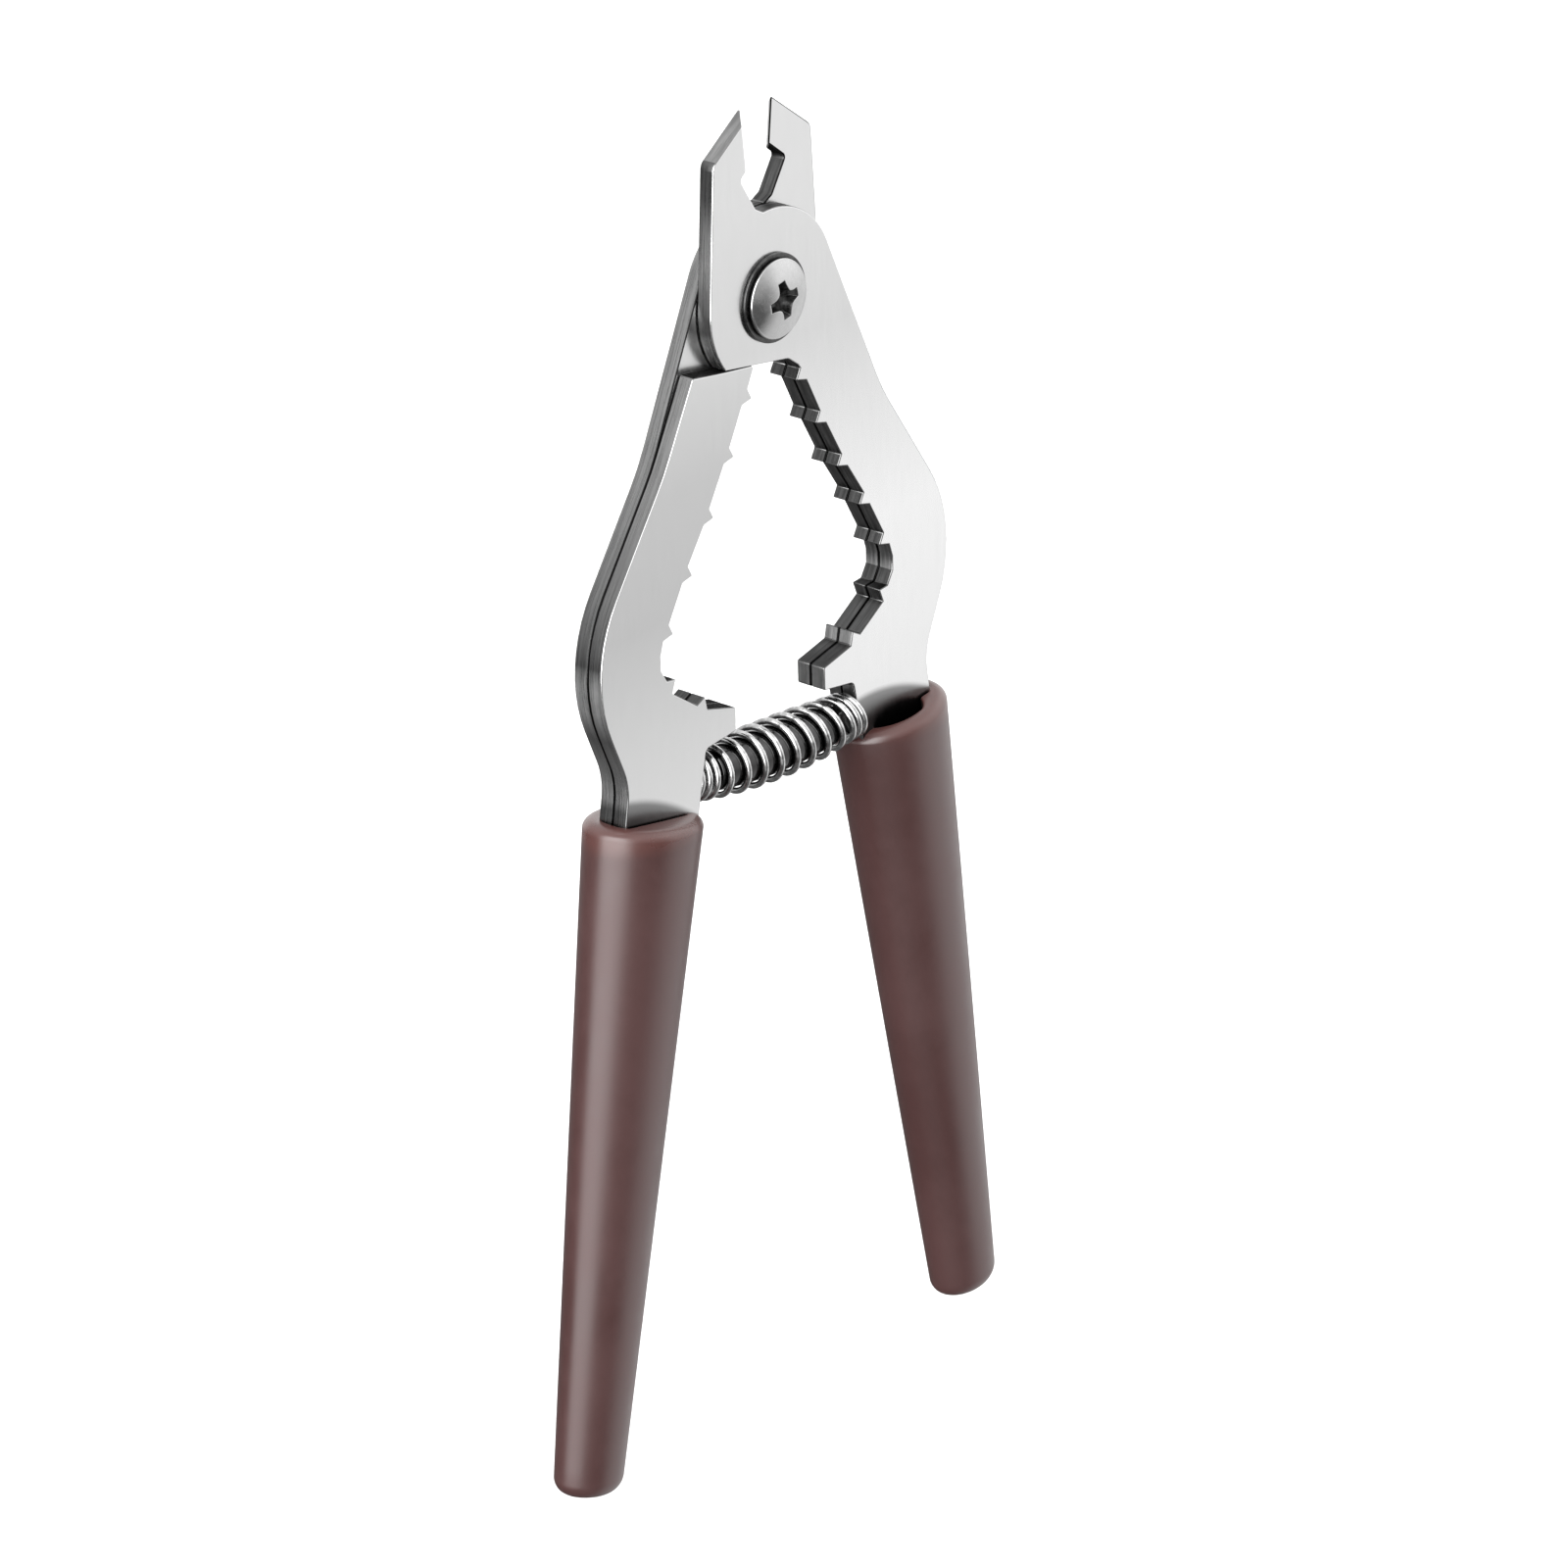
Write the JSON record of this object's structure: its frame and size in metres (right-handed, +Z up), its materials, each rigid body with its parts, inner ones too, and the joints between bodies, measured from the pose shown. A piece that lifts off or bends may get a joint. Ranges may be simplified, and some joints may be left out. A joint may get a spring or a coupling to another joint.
{
  "type": "spring-opened nutcracker",
  "caption": "Spring-opened nutcracker with crossing steel arms, toothed nut opening, small shell-snipping jaws, a screw pivot and tapered brown plastic grips.",
  "frame": {"origin": "under the pivot, half way between the grip ends and level with their lowest points", "axes": "+Z up towards the jaws, +Y to the back, away from the screw head, +X to the right as the screw head is seen from the front"},
  "size_m": [0.0838, 0.013, 0.1744],
  "materials": {
    "arm_steel": "satin",
    "fastener_steel": "plated, slightly darker",
    "spring_steel": "bright drawn wire",
    "grip_plastic": "satin brown",
    "nylon": "milky"
  },
  "bodies": {
    "right_arm": {"front_jaw_plate": "arm_steel", "right_backing_plate": "arm_steel", "right_grip": "grip_plastic", "pivot_screw": "fastener_steel", "head_washer": "fastener_steel", "rear_washer": "fastener_steel", "lock_nut": "fastener_steel", "lock_nut_ring": "nylon", "return_spring": "spring_steel"},
    "left_arm": {"rear_jaw_plate": "arm_steel", "left_facing_plate": "arm_steel", "left_grip": "grip_plastic"}
  },
  "joints": [
    {"name": "squeeze", "type": "hinge", "parent": "right_arm", "child": "left_arm", "pos_m": [0, 0, 0.1503], "axis": [0, -1, 0], "range_deg": [0, 17], "stiffness_Nm_per_rad": 7.5, "springref_deg": -5.73, "deforming": ["return_spring"]}
  ]
}
